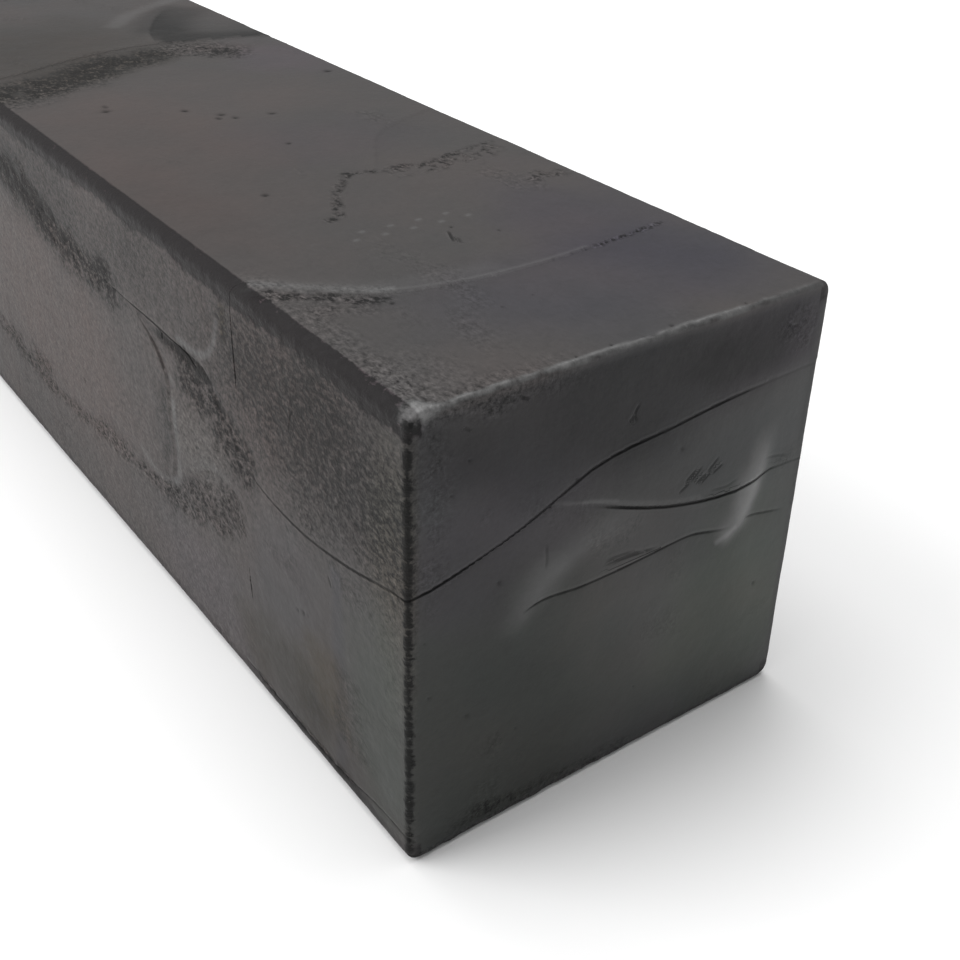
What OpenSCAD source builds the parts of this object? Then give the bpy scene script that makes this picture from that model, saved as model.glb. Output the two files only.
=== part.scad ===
// Jumbo square stick of compressed drawing charcoal.
// The stick is pressed from lumps of kneaded charcoal mass. The lumps are laid on and against
// each other in a square mould, and each keeps its own skin, so the laps and knits between
// them stay visible on the outside. Every lump is a separate solid.
// Frame: X across the section, Y along the stick with the front end at -Y, Z up from the
// face that the stick rests on. The origin is the centre of that face.

/* [Stick] */
// Width of the section, in millimetres
stick_w = 20; // [16:0.5:26]
// Height of the section, in millimetres
stick_h = 20; // [16:0.5:26]
// Length of the stick, in millimetres
stick_l = 80; // [72:1:110]

/* [Edges] */
// Radius of the four long edges
long_edge_r = 0.6; // [0.3:0.1:1]
// Radius of the edges round the two ends
end_edge_r = 0.25; // [0.15:0.05:0.6]

/* [Laps and knits] */
// Lift of the main lap, which divides the upper folds from the rest, in millimetres
main_lap_lift = 0; // [-0.8:0.1:0.8]
// Shift of the front knit along the stick, away from the front end
front_knit_shift = 0; // [-1:0.1:2]
// Shift of the rear knit along the stick, away from the front end
rear_knit_shift = 0; // [-3:0.5:6]
// Depth of the leaf that lies in the left flank
leaf_depth = 2.2; // [1:0.1:3.5]

/* [Hidden] */

// How far the cutting blocks run past the stick on every side
past = 2;
// Spacing of the points on a lap or a knit
grid_step = 1;
// Sides of a full circle
round_fn = 48;

// Laps and knits are lines of [place, height] points, all as shares of the section's width
// or height. A place across the stick counts from the left flank, and a place along it counts
// from the front end.

// The main lap as it shows across the front end
main_lap_across = [
    [-0.1, 0.62], [0, 0.635], [0.2, 0.685], [0.3, 0.725], [0.42, 0.775],
    [0.6, 0.795], [0.8, 0.815], [1.1, 0.83]
];
// The main lap as it shows along the left flank
main_lap_along = [
    [-0.1, 0.65], [0, 0.635], [0.2, 0.585], [0.4, 0.563], [0.65, 0.6], [0.75, 0.69],
    [0.88, 0.745], [1.3, 0.753], [1.7, 0.77], [2.1, 0.81], [2.8, 0.79], [3.6, 0.74],
    [5.7, 0.7]
];
// The lap under the wedge, which leaves the main lap near the left of the front end
wedge_lap_across = [
    [-0.1, 1.1], [0.2, 0.82], [0.3, 0.725], [0.4, 0.69], [0.6, 0.615], [0.79, 0.58],
    [0.9, 0.6], [1.1, 0.585]
];
// The lap between the middle flank and the middle base, along the left flank
flank_lap_along = [
    [0.3, 0.54], [0.65, 0.505], [0.75, 0.49], [0.95, 0.375], [1.1, 0.305], [1.4, 0.27],
    [1.9, 0.225], [2.4, 0.25]
];
// The front knit seen from above: [share of width, widths from the front end]
front_knit_across = [
    [-0.1, 0.7], [0, 0.66], [0.05, 0.57], [0.1, 0.505], [0.21, 0.415], [0.4, 0.372],
    [0.6, 0.37], [0.8, 0.393], [1.1, 0.43]
];
// The rear knit seen from above
rear_knit_across = [
    [-0.1, 2], [0.1, 2.04], [0.25, 2.12], [0.5, 2.25], [0.7, 2.28], [0.85, 2.275],
    [1.1, 2.25]
];
// The leaf's front and rear edges on the left flank, in widths from the front end
leaf_front = 0.64;
leaf_rear = 1.01;

// A smooth curve through points of rising place, read at one place
function slope(points, i) =
    let (a = max(i - 1, 0), b = min(i + 1, len(points) - 1))
    (points[b][1] - points[a][1]) / (points[b][0] - points[a][0]);
function span(points, place, i = 0) =
    i >= len(points) - 2 || place < points[i + 1][0] ? i : span(points, place, i + 1);
function read(points, place) =
    let (
        i = span(points, place),
        step = points[i + 1][0] - points[i][0],
        t = min(max((place - points[i][0]) / step, 0), 1)
    )
    points[i][1] * (1 + 2 * t) * (1 - t) * (1 - t)
    + points[i + 1][1] * t * t * (3 - 2 * t)
    + step * t * (1 - t) * (slope(points, i) * (1 - t) - slope(points, i + 1) * t);

// Places as shares of the width: across the stick, and along it from the front end
function across(x) = x / stick_w + 0.5;
function along(y) = (y + stick_l / 2) / stick_w;

// Heights of the front lump's two laps at x and y, in millimetres
function lap_height(lap_across, x, y) =
    main_lap_lift + stick_h * (
        read(lap_across, across(x)) + read(main_lap_along, along(y)) - read(main_lap_along, 0)
    );
main_surface = function(x, y) lap_height(main_lap_across, x, y);
wedge_surface = function(x, y) lap_height(wedge_lap_across, x, y);

// The whole stick: each of the three outlines rounds four of its edges
module outline(a, b, r) {
    square([a - 2 * r, b], center = true);
    square([a, b - 2 * r], center = true);
    for (i = [-1, 1], j = [-1, 1])
        translate([i * (a / 2 - r), j * (b / 2 - r)])
            circle(r = r, $fn = round_fn);
}

module stick() {
    translate([0, 0, stick_h / 2])
        intersection() {
            rotate([90, 0, 0])
                linear_extrude(stick_l, center = true)
                    outline(stick_w, stick_h, long_edge_r);
            linear_extrude(stick_h, center = true)
                outline(stick_w, stick_l, end_edge_r);
            rotate([90, 0, 90])
                linear_extrude(stick_w, center = true)
                    outline(stick_l, stick_h, end_edge_r);
        }
}

// The space above a lap of the front lump, as one closed block. Its floor is the lap surface,
// a grid of points, and each point of the floor's rim has one above it on the ceiling.
module above_front(lap) {
    nx = ceil((stick_w + 2 * past) / grid_step);
    ny = ceil((front_end_y - front_y) / grid_step);
    x_at = function(i) -stick_w / 2 - past + i * (stick_w + 2 * past) / nx;
    y_at = function(j) front_y + j * (front_end_y - front_y) / ny;
    rim = [
        for (i = [0 : nx - 1]) [i, 0],
        for (j = [0 : ny - 1]) [nx, j],
        for (i = [nx : -1 : 1]) [i, ny],
        for (j = [ny : -1 : 1]) [0, j]
    ];
    ceiling = stick_h + past;
    floor_points = [
        for (j = [0 : ny], i = [0 : nx])
            [x_at(i), y_at(j), lap(x_at(i), y_at(j))]
    ];
    ceiling_points = [for (c = rim) [x_at(c[0]), y_at(c[1]), ceiling]];
    centre = [0, (front_y + front_end_y) / 2, ceiling];
    n_floor = len(floor_points);
    n_rim = len(rim);
    at = function(i, j) j * (nx + 1) + i;
    floor_faces = [
        for (j = [0 : ny - 1], i = [0 : nx - 1])
            each [
                [at(i, j), at(i + 1, j), at(i, j + 1)],
                [at(i + 1, j), at(i + 1, j + 1), at(i, j + 1)]
            ]
    ];
    wall_faces = [
        for (k = [0 : n_rim - 1])
            let (
                next = (k + 1) % n_rim,
                low = at(rim[k][0], rim[k][1]),
                low_next = at(rim[next][0], rim[next][1])
            )
            each [
                [low_next, low, n_floor + k],
                [low_next, n_floor + k, n_floor + next]
            ]
    ];
    ceiling_faces = [
        for (k = [0 : n_rim - 1])
            [n_floor + n_rim, n_floor + (k + 1) % n_rim, n_floor + k]
    ];
    polyhedron(
        points = concat(floor_points, ceiling_points, [centre]),
        faces = concat(floor_faces, wall_faces, ceiling_faces)
    );
}

// The space above a lap of the middle and rear lumps, which runs straight across the stick
module above_behind(lap_along, lift) {
    lap_points = [
        for (y = [behind_y : grid_step : behind_end_y])
            [y, lift + stick_h * read(lap_along, along(y))]
    ];
    rotate([90, 0, 90])
        linear_extrude(stick_w + 2 * past, center = true)
            polygon(concat(
                lap_points,
                [[behind_end_y, stick_h + past], [behind_y, stick_h + past]]
            ));
}

// The space in front of a knit, over the whole height
module before(knit, shift) {
    knit_points = [
        for (x = [-stick_w / 2 - past : grid_step : stick_w / 2 + past])
            [x, stick_w * read(knit, across(x)) - stick_l / 2 + shift]
    ];
    translate([0, 0, -past])
        linear_extrude(stick_h + 2 * past)
            polygon(concat(
                knit_points,
                [
                    [stick_w / 2 + past, -stick_l / 2 - past],
                    [-stick_w / 2 - past, -stick_l / 2 - past]
                ]
            ));
}

module before_front_knit() {
    before(front_knit_across, front_knit_shift);
}

module before_rear_knit() {
    before(rear_knit_across, rear_knit_shift);
}

// The laps' blocks reach a little past the knits that bound the lumps
front_y = -stick_l / 2 - past;
front_end_y = -stick_l / 2 + 0.75 * stick_w + front_knit_shift;
behind_y = -stick_l / 2 + 0.3 * stick_w;
behind_end_y = stick_l / 2 + past;

// The leaf's plan is a round scoop that reaches leaf_depth into the flank
module leaf_scoop() {
    half = (leaf_rear - leaf_front) * stick_w / 2;
    r = (half * half + leaf_depth * leaf_depth) / (2 * leaf_depth);
    translate([
        -stick_w / 2 + leaf_depth - r,
        -stick_l / 2 + (leaf_front + leaf_rear) / 2 * stick_w,
        -past
    ])
        cylinder(r = r, h = stick_h + 2 * past, $fn = round_fn);
}

module above_main_lap() {
    above_behind(main_lap_along, main_lap_lift);
}

module above_flank_lap() {
    above_behind(flank_lap_along, 0);
}

module front_lump() {
    intersection() {
        stick();
        before_front_knit();
    }
}

module middle_lump() {
    difference() {
        intersection() {
            stick();
            before_rear_knit();
        }
        before_front_knit();
    }
}

module rear_lump() {
    difference() {
        stick();
        before_rear_knit();
    }
}

module front_upper_fold() {
    color([0.23, 0.22, 0.23])
        intersection() {
            front_lump();
            above_front(main_surface);
        }
}

module front_wedge_fold() {
    color([0.25, 0.25, 0.25])
        difference() {
            intersection() {
                front_lump();
                above_front(wedge_surface);
            }
            above_front(main_surface);
        }
}

module front_base() {
    color([0.24, 0.25, 0.24])
        difference() {
            front_lump();
            above_front(main_surface);
            above_front(wedge_surface);
        }
}

module middle_upper_fold() {
    color([0.27, 0.26, 0.26])
        intersection() {
            middle_lump();
            above_main_lap();
        }
}

module middle_flank() {
    color([0.28, 0.27, 0.26])
        difference() {
            intersection() {
                middle_lump();
                above_flank_lap();
            }
            above_main_lap();
            leaf_scoop();
        }
}

module side_leaf() {
    color([0.3, 0.3, 0.29])
        difference() {
            intersection() {
                middle_lump();
                above_flank_lap();
                leaf_scoop();
            }
            above_main_lap();
        }
}

module middle_base() {
    color([0.25, 0.25, 0.24])
        difference() {
            middle_lump();
            above_flank_lap();
        }
}

module rear_upper_fold() {
    color([0.26, 0.25, 0.24])
        intersection() {
            rear_lump();
            above_main_lap();
        }
}

module rear_base() {
    color([0.25, 0.24, 0.24])
        difference() {
            rear_lump();
            above_main_lap();
        }
}

front_upper_fold();
front_wedge_fold();
front_base();
middle_upper_fold();
middle_flank();
middle_base();
side_leaf();
rear_upper_fold();
rear_base();
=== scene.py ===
"""The looks of a jumbo square stick of compressed charcoal.

The stick was pressed from folded lumps. One block the size of the stick is given its worn
skin: laps, cracks, ridges, torn bands, pits and crumbling edges. Every lump is then cut from
the block by its own solid, scored along its borders, and given its charcoal finish.
"""

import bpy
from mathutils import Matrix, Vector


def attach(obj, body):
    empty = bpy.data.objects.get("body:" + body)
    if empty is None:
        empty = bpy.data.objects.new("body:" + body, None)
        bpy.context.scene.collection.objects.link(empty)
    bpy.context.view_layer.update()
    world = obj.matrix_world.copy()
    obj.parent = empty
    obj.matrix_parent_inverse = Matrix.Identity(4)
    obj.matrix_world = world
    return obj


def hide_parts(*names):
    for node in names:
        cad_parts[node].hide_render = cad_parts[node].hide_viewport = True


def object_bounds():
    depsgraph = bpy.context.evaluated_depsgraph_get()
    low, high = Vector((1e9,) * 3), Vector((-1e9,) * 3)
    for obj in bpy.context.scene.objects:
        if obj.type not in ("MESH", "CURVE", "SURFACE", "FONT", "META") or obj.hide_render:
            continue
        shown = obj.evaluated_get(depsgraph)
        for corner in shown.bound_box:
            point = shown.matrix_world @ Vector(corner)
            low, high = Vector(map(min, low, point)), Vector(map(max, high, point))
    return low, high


bl_info = {
    "name": "Charcoal Stick",
    "version": (1, 0, 0),
    "blender": (4, 5, 0),
    "location": "View3D > Sidebar > Charcoal",
    "description": "Gives a pressed charcoal stick its worn skin, laps and finish",
    "category": "Object",
}

import math

import bmesh
import bpy
import numpy as np
from mathutils import Matrix, Vector
from mathutils.kdtree import KDTree

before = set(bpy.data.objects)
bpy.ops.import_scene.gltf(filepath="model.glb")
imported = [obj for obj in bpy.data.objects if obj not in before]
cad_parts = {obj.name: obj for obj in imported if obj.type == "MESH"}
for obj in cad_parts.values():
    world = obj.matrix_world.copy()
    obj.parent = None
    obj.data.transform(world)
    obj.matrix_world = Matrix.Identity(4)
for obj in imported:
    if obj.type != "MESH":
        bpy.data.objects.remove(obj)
cad_low, cad_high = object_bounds()

# Skin work is done in millimetres, and a finished piece is brought back to metres
MM = 0.001
WIDTH, LENGTH, HEIGHT = (cad_high - cad_low) / MM
FRONT = cad_low.y / MM
BLOCK = "skin_block"
# The dust field carries real dust and light scratches, and also painted highlights along lips, ridges,
# rims and the near top corner
FIELDS = ("crevice_shade", "rough", "dust", "warm", "plum", "rust", "shade", "edge", "mark")
NORMALS = ("skin_x", "skin_y", "skin_z")
# How far from a crisp line its distance is still kept, in millimetres
LINE_REACH = 0.6
# Rows along the stick, as a share of the number that even steps would take: they widen
# towards the rear
ROWS_SHARE = 0.425
# How close to the block's outside a solid's point is taken as on it, in millimetres
OUTSIDE = np.array([0.61, 0.26, 0.61])
# Past this angle between two faces a lump's edge is shaded sharp
SHARP = math.radians(50)
# A border fainter than this is shaded as if it weren't there
HIDDEN = 0.3
FLOOR_SIZE, FLOOR_PLACE = 3, (0, 0, -0.06 * MM)
FLOOR_COLOUR, FLOOR_ROUGHNESS = (0.92, 0.92, 0.92), 0.7
# Each light: its name, place, size and power
LIGHTS = (("window", (-0.5, 0.25, 0.45), 0.5, 3.7), ("ceiling", (0.05, 0.2, 0.8), 0.8, 5.6))


# ---------------------------------------------------------------- settings

def length(name, description, default, low, high):
    return bpy.props.FloatProperty(
        name=name, description=description, default=default, min=low, max=high,
        precision=6, unit="LENGTH")


def number(name, description, default, low, high, **more):
    return bpy.props.FloatProperty(
        name=name, description=description, default=default, min=low, max=high, **more)


def colour(name, description, default):
    return bpy.props.FloatVectorProperty(
        name=name, description=description, default=default, min=0, max=1, size=3,
        subtype="COLOR")


class StickSizes(bpy.types.PropertyGroup):
    skin_step: length("Skin step", "Spacing of the skin's points at the front end",
        0.00009, 0.00005, 0.001)
    long_edge: length("Long edge", "Radius of the four long edges", 0.0006, 0.0001, 0.002)
    end_edge: length("End edge", "Radius of the edges round the two ends",
        0.00022, 0.0001, 0.001)
    score: length("Score", "Depth of the groove where two lumps meet", 0.00003, 0, 0.0005)
    score_width: length("Score width", "Half the width of that groove",
        0.00012, 0.00003, 0.0005)
    relief: number("Relief", "Strength of all that is worn into the skin", 1, 0, 2,
        subtype="FACTOR")


class StickColours(bpy.types.PropertyGroup):
    plain: colour("Plain charcoal", "Colour of the plain pressed skin",
        (0.0475, 0.0475, 0.0475))
    warm: colour("Warm charcoal", "Colour of the rosy patches", (0.0573, 0.0475, 0.0452))
    plum: colour("Plum charcoal", "Colour of the cool purple patches",
        (0.053, 0.0475, 0.0565))
    rust: colour("Rusty charcoal", "Colour of the yellow brown patches",
        (0.058, 0.049, 0.032))
    gloss: number("Gloss", "Strength of the satin shine", 0.19, 0, 1, subtype="FACTOR")
    roughness: number("Roughness", "Roughness of the plain pressed skin", 0.46, 0.1, 1,
        subtype="FACTOR")


class StickStage(bpy.types.PropertyGroup):
    azimuth: number("Azimuth", "Direction that the camera stands in, from the front end",
        math.radians(-37.92), -math.pi, math.pi, subtype="ANGLE")
    elevation: number("Elevation", "Angle of the camera above the horizon",
        math.radians(29.62), -math.pi / 2, math.pi / 2, subtype="ANGLE")
    roll: number("Roll", "Turn of the camera about its own line of sight",
        math.radians(2.22), -math.pi, math.pi, subtype="ANGLE")
    distance: number("Distance", "Camera to the near top corner, in widths of the stick",
        2.023, 0.5, 20)
    slide: bpy.props.FloatVectorProperty(
        name="Slide", description="Camera's move to the right and up, in widths of the stick",
        default=(0.161, -0.004), size=2)
    lens: number("Lens", "Focal length, in millimetres", 48.63, 10, 300)
    shift: bpy.props.FloatVectorProperty(
        name="Shift", description="Lens shift, as shares of the frame",
        default=(-0.03, -0.06), size=2)
    sky: number("Sky", "Strength of the even light from all round", 0.42, 0, 5)


# ---------------------------------------------------------------- noise and lines

def smoothstep(low, high, x):
    """0 at low and 1 at high, with an easy start and end."""
    t = np.clip((x - low) / (high - low), 0, 1)
    return t * t * (3 - 2 * t)


def lattice(i, j, k, seed):
    """A number from -1 to 1 for each whole place, always the same."""
    n = (i * 73856093) ^ (j * 19349663) ^ (k * 83492791) ^ (seed * 374761393)
    n = (n ^ (n >> 13)) & 0xFFFFFFFF
    n = n * 1274126177
    n = n ^ (n >> 16)
    return (n & 0xFFFF) / 32767.5 - 1


def noise(points, size, seed):
    """Smooth noise from -1 to 1 with lumps of that size, one size or one for each axis."""
    q = points / np.asarray(size, float) + 1000
    base = np.floor(q).astype(np.int64)
    f = q - base
    f = f * f * (3 - 2 * f)
    total = np.zeros(len(points))
    for a in (0, 1):
        for b in (0, 1):
            for c in (0, 1):
                share = (
                    (f[:, 0] if a else 1 - f[:, 0])
                    * (f[:, 1] if b else 1 - f[:, 1])
                    * (f[:, 2] if c else 1 - f[:, 2])
                )
                total += share * lattice(base[:, 0] + a, base[:, 1] + b, base[:, 2] + c, seed)
    return total


def layers(points, size, count, seed):
    """Noise in several layers, each half as large and half as strong as the one before."""
    total, strength, weight = 0, 0, 1.0
    for n in range(count):
        total = total + weight * noise(points, np.asarray(size, float) / 2 ** n, seed + n)
        strength += weight
        weight /= 2
    return total / strength


def through(points, count=6):
    """A smooth line through the points, with count short stretches between each two."""
    p = np.array(points, float)
    if len(p) < 3:
        return p
    p = np.vstack([2 * p[0] - p[1], p, 2 * p[-1] - p[-2]])
    line = []
    for a, b, c, d in zip(p[:-3], p[1:-2], p[2:-1], p[3:]):
        for t in np.arange(count) / count:
            line.append(0.5 * (2 * b + (c - a) * t + (2 * a - 5 * b + 4 * c - d) * t ** 2
                               + (3 * b - a - 3 * c + d) * t ** 3))
    line.append(p[-2])
    return np.array(line)


class Trace:
    """How a face's points lie to a line on it: which are near, how far to its left they are
    (less than 0 on its right), and how far along it."""

    def __init__(self, u, v, points, reach):
        line = through(points)
        low, high = line.min(0) - reach, line.max(0) + reach
        self.near = np.flatnonzero((u > low[0]) & (u < high[0]) & (v > low[1]) & (v < high[1]))
        u, v = u[self.near], v[self.near]
        away = np.full(len(u), 1e9)
        self.run = np.zeros(len(u))
        side = np.ones(len(u))
        self.length = 0.0
        for a, b in zip(line[:-1], line[1:]):
            along = b - a
            size = float(np.hypot(*along)) + 1e-9
            t = np.clip(((u - a[0]) * along[0] + (v - a[1]) * along[1]) / size ** 2, 0, 1)
            du, dv = u - a[0] - t * along[0], v - a[1] - t * along[1]
            d = np.hypot(du, dv)
            closer = d < away
            away[closer] = d[closer]
            self.run[closer] = self.length + t[closer] * size
            side[closer] = np.sign(along[0] * dv - along[1] * du + 1e-12)[closer]
            self.length += size
        self.left = away * side
        self.away = away

    def ends(self, start, end):
        """1 along the line, fading to 0 over those lengths at its start and end."""
        fade = np.ones(len(self.run))
        if start:
            fade = fade * smoothstep(0, start, self.run)
        if end:
            fade = fade * smoothstep(0, end, self.length - self.run)
        return fade


class Face:
    """One face of the block. u and v are places on it, and heights and finish fields add up."""

    def __init__(self, points, u, v):
        self.points, self.u, self.v = points, u, v
        self.height = np.zeros(len(u))
        self.fields = {name: np.zeros(len(u)) for name in FIELDS}
        self.fields["edge"] += LINE_REACH

    def add(self, name, near, value):
        self.fields[name][near] += value

    def most(self, name, near, value):
        self.fields[name][near] = np.maximum(self.fields[name][near], value)

    def draw(self, trace, strength):
        """Keeps how far the points are from a crisp line and how strong it is there."""
        nearer = (trace.away < abs(self.fields["edge"][trace.near])) & (strength > 0.01)
        strength = strength * smoothstep(0.6 * LINE_REACH, 0.4 * LINE_REACH, trace.away)
        self.fields["edge"][trace.near[nearer]] = trace.left[nearer]
        self.fields["mark"][trace.near[nearer]] = strength[nearer]

    def lap(self, points, groove=0, lip=0.02, drop=0.02, width=0.1, roll=0.45, dark=0, dust=0.1,
            start=0, end=0, shade=0.05):
        """An edge of a fold: raised on the line's left, with a painted highlight along its lip, and
        lower on its right, with painted shade under the fold.
        """
        t = Trace(self.u, self.v, points, 4 * roll)
        fade = t.ends(start, end)
        line = np.exp(-(t.away / width) ** 2) * fade
        shelf = np.exp(-t.away / roll) * fade
        self.height[t.near] += np.where(t.left > 0, lip, -drop) * shelf - groove * line
        # the crisp line, which the finish darkens as painted shade in its groove
        self.draw(t, dark * fade)
        # painted highlight along the lip, and painted shade on the lower side
        rim = np.exp(-((t.left - 0.2) / 0.17) ** 2) * fade
        self.add("dust", t.near, dust * rim)
        self.add("shade", t.near, np.where(t.left > 0, 0.0, -shade) * shelf)

    def ridge(self, points, height, width, steep=1.3, dust=0.4, start=1, end=1):
        """A soft ridge, steeper on the line's right by the factor steep, with a painted highlight along
        it.
        """
        t = Trace(self.u, self.v, points, 4 * width)
        wide = np.where(t.left > 0, width, width / steep)
        bump = np.exp(-(t.away / wide) ** 2) * t.ends(start, end)
        self.height[t.near] += height * bump
        # painted highlight along the ridge
        self.add("dust", t.near, dust * bump)

    def torn(self, points, width, depth=0.02, grain=0.035, dark=0.14, rough=0.9, start=1, end=1,
            lumps=1.1, cover=0.2, seed=1):
        """A band of crumbled, grainy skin."""
        t = Trace(self.u, self.v, points, 2.2 * width)
        where = self.points[t.near]
        ragged = t.away + 0.5 * width * layers(where, lumps, 3, seed)
        band = smoothstep(1.15 * width, 0.1 * width, ragged) * t.ends(start, end)
        band = band * smoothstep(-0.5 - cover, 0.25 - cover, layers(where, 0.5 * lumps, 2, seed + 5))
        crumbs = layers(where, 0.34, 2, seed + 9)
        self.height[t.near] += band * (grain * crumbs - depth)
        self.most("rough", t.near, rough * band)
        self.add("shade", t.near, -dark * band * (1 + 1.5 * crumbs))

    def pits(self, places, depth=0.04, dark=0.6):
        """Small holes at [u, v, radius], darkened inside with painted shade."""
        for u, v, radius in places:
            near = np.flatnonzero((abs(self.u - u) < 3 * radius) & (abs(self.v - v) < 3 * radius))
            away = np.hypot(self.u[near] - u, self.v[near] - v)
            away = away * (1 + 0.35 * noise(self.points[near], 0.25, 77))
            hole = np.exp(-(away / (0.75 * radius)) ** 2)
            self.height[near] -= depth * hole
            self.most("crevice_shade", near, dark * hole)

    def scratch(self, points, depth=0.01, dark=0.4, dust=0):
        """A short fine line, darkened with painted shade in its groove, or light with dust."""
        t = Trace(self.u, self.v, points, LINE_REACH)
        fade = t.ends(0.3 * t.length, 0.3 * t.length)
        line = np.exp(-(t.away / 0.1) ** 2) * fade
        self.height[t.near] -= depth * line
        if dark:
            self.draw(t, dark * fade)
        self.add("dust", t.near, dust * line)

    def streak(self, points, width, **fields):
        """A soft band along a line that adds to the named fields."""
        t = Trace(self.u, self.v, points, 3 * width)
        ragged = t.away + 0.3 * width * layers(self.points[t.near], 2 * width, 2, 91)
        band = smoothstep(1.5 * width, 0.2 * width, ragged)
        band = band * t.ends(min(width, 0.3 * t.length), min(width, 0.3 * t.length))
        for name, value in fields.items():
            self.add(name, t.near, value * band)

    def blotch(self, u, v, wide, high, height=0, **fields):
        """A soft round patch that adds to the height and to the named fields."""
        ragged = 0.35 * layers(self.points, max(wide, high) / 2, 2, int(10 * u + v))
        away = np.hypot((self.u - u) / wide, (self.v - v) / high) + ragged
        patch = smoothstep(1.35, 0.35, away)
        self.height += height * patch
        for name, value in fields.items():
            self.fields[name] += value * patch


# ---------------------------------------------------------------- the six faces
# Places are in millimetres: u across the stick from the left flank, or along it from the
# front end on the flanks, and v up from the resting face, or along the stick on the top and
# the bottom.

def work_front(face):
    """The near end: the main lap, the wedge under it, a long crack and two pressed ridges."""
    main = [(-1, 12.6), (0, 12.7), (2, 13.1), (4, 13.7), (6, 14.5), (7.4, 15.2), (8.5, 15.5),
            (10, 15.7), (12, 15.9), (14, 16.1), (16, 16.3), (18, 16.4), (21, 16.55)]
    face.lap(main, lip=0.012, roll=0.35, end=5, shade=0.14)
    wedge = [(6, 14.4), (8, 13.8), (10, 13), (12, 12.3), (14, 11.85), (15.8, 11.6),
             (17, 11.9), (18, 12.05), (20.5, 11.75)]
    face.lap(wedge, lip=0.03, roll=0.4, start=2, end=5)
    # painted highlights along the lips of the wedge
    face.streak([(6.3, 14.42), (7.2, 14.12), (8.2, 13.86), (9.5, 13.38)], 0.09, dust=0.5)
    face.streak([(7.6, 14), (9, 13.55), (10.4, 13), (12.2, 12.38), (14, 11.98)], 0.08, dust=0.5)
    crack = [(4.9, 10.1), (6, 10.25), (8, 10.05), (10, 10.05), (12, 10.15), (13.6, 10.2),
             (15, 9.9), (16, 9.85)]
    face.lap(crack, groove=0.03, roll=0.4, dark=0.9, dust=0.16, start=0.7, end=1.6)
    face.lap([(16.6, 9.95), (17.4, 9.85), (18.3, 9.65), (19.3, 9.45)], groove=0.015, lip=0.015,
            drop=0.01, dark=0.6, start=0.6, end=1.2)
    face.scratch([(8.7, 10.65), (9.6, 10.55), (10.4, 10.5), (12, 10.35)], dark=0.65)
    face.scratch([(9.2, 10.45), (10.3, 10.6), (11.2, 10.4)], dark=0.5)
    face.scratch([(8.9, 10.8), (9.9, 10.75), (10.6, 10.65)])
    # the two ridges and the patches and streak beside them are lit with painted highlights
    face.ridge([(4.2, 8.9), (5.2, 10.4), (6.2, 11.4), (7.6, 12.1), (9.4, 12.4), (11.6, 12.3)], 0.09,
            0.8, dust=0.8, start=1.6, end=4)
    face.blotch(6, 11.1, 1.4, 1.2, dust=0.4)
    face.blotch(10.5, 12.2, 2.6, 0.7, dust=0.06)
    face.ridge([(15.1, 9.1), (15.8, 9.7), (16.4, 10.4), (16.9, 11.6), (17.3, 13), (17.7, 14.8)], 0.12,
            0.66, steep=1.2, dust=1.7, start=0.8, end=3)
    face.blotch(17.1, 12.4, 0.6, 1.3, dust=0.45)
    face.blotch(16.55, 11.1, 0.8, 1.5, dust=1.1)
    face.streak([(15.1, 9.15), (15.6, 9.45), (16.3, 9.75)], 0.16, dust=1.2)
    for n in range(7):
        x, z = 12.6 + 0.3 * n, 12.55 + 0.13 * ((3 * n) % 4)
        face.scratch([(x, z), (x + 0.7, z + 0.35 + 0.15 * (n % 3))], dark=0.6)
    face.scratch([(14.3, 12.1), (15.4, 11.95), (16.2, 12.15)], dark=0.3)
    face.scratch([(17.4, 12.6), (18.2, 12.45), (19.1, 12.2)], dark=0.25)
    face.scratch([(10.05, 16.6), (9.9, 17), (10.15, 17.45)], dark=0.6)
    face.scratch([(9.6, 16.7), (9.9, 17)])
    face.scratch([(6, 11.6), (6.05, 12.2), (6, 12.9)], dark=0.35)
    face.scratch([(17.6, 18.65), (18, 18.45), (18.4, 18.4)], dark=0.35)
    face.scratch([(4.5, 19.3), (5, 19.1)], dark=0.6)
    face.scratch([(2.2, 18.9), (2.6, 18.6)], dark=0.35)
    face.pits([(3.9, 11.9, 0.12), (1.8, 16.35, 0.08), (12.6, 14.6, 0.12), (7.3, 15.1, 0.1),
            (2.6, 6.3, 0.16), (18, 6, 0.1), (11.3, 3.4, 0.06), (5, 4.4, 0.07), (2.5, 17.5, 0.07),
            (0.9, 8, 0.08), (0.7, 10.6, 0.07)])
    face.torn([(0, 20), (0.9, 18), (0.7, 15), (0.6, 12)], 1.2, depth=0, grain=0.02, dark=0,
              rough=0.28, seed=21)
    face.torn([(17, 18.8), (20, 17.8)], 1.2, depth=0.005, grain=0.02, dark=-0.03, rough=0.25, seed=23)
    face.torn([(1.5, 0.8), (3, 0.9), (5.5, 0.5), (12, 0.2)], 0.6, depth=0.03, grain=0.03, dark=0.16,
            rough=0.45, seed=25)
    face.streak([(-1, 0), (6, 0.1), (14, 0), (21, 0)], 0.9, shade=-0.13)
    # painted reflection: the right side of the near end is lighter
    face.blotch(16.5, 5.5, 5, 6, plum=-0.7, shade=0.2)
    face.blotch(18.8, 10, 2.2, 8, shade=0.24)
    face.blotch(10.5, 6.5, 4.5, 4.5, shade=0.2)
    # painted shade: the lower left of the near end is darker
    face.blotch(4, 5, 7, 7.5, plum=-0.5, shade=-0.3)
    face.blotch(9, 18.2, 10, 3.4, plum=0.4, shade=-0.6)
    face.blotch(11, 14, 5, 2.2, shade=-0.14)
    face.blotch(17, 18.2, 4, 2.4, plum=0.8, shade=-0.36)
    face.blotch(3, 14, 5, 3.5, plum=0.6, shade=-0.14)
    face.blotch(13.5, 9.4, 5, 0.9, shade=-0.1)


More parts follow.
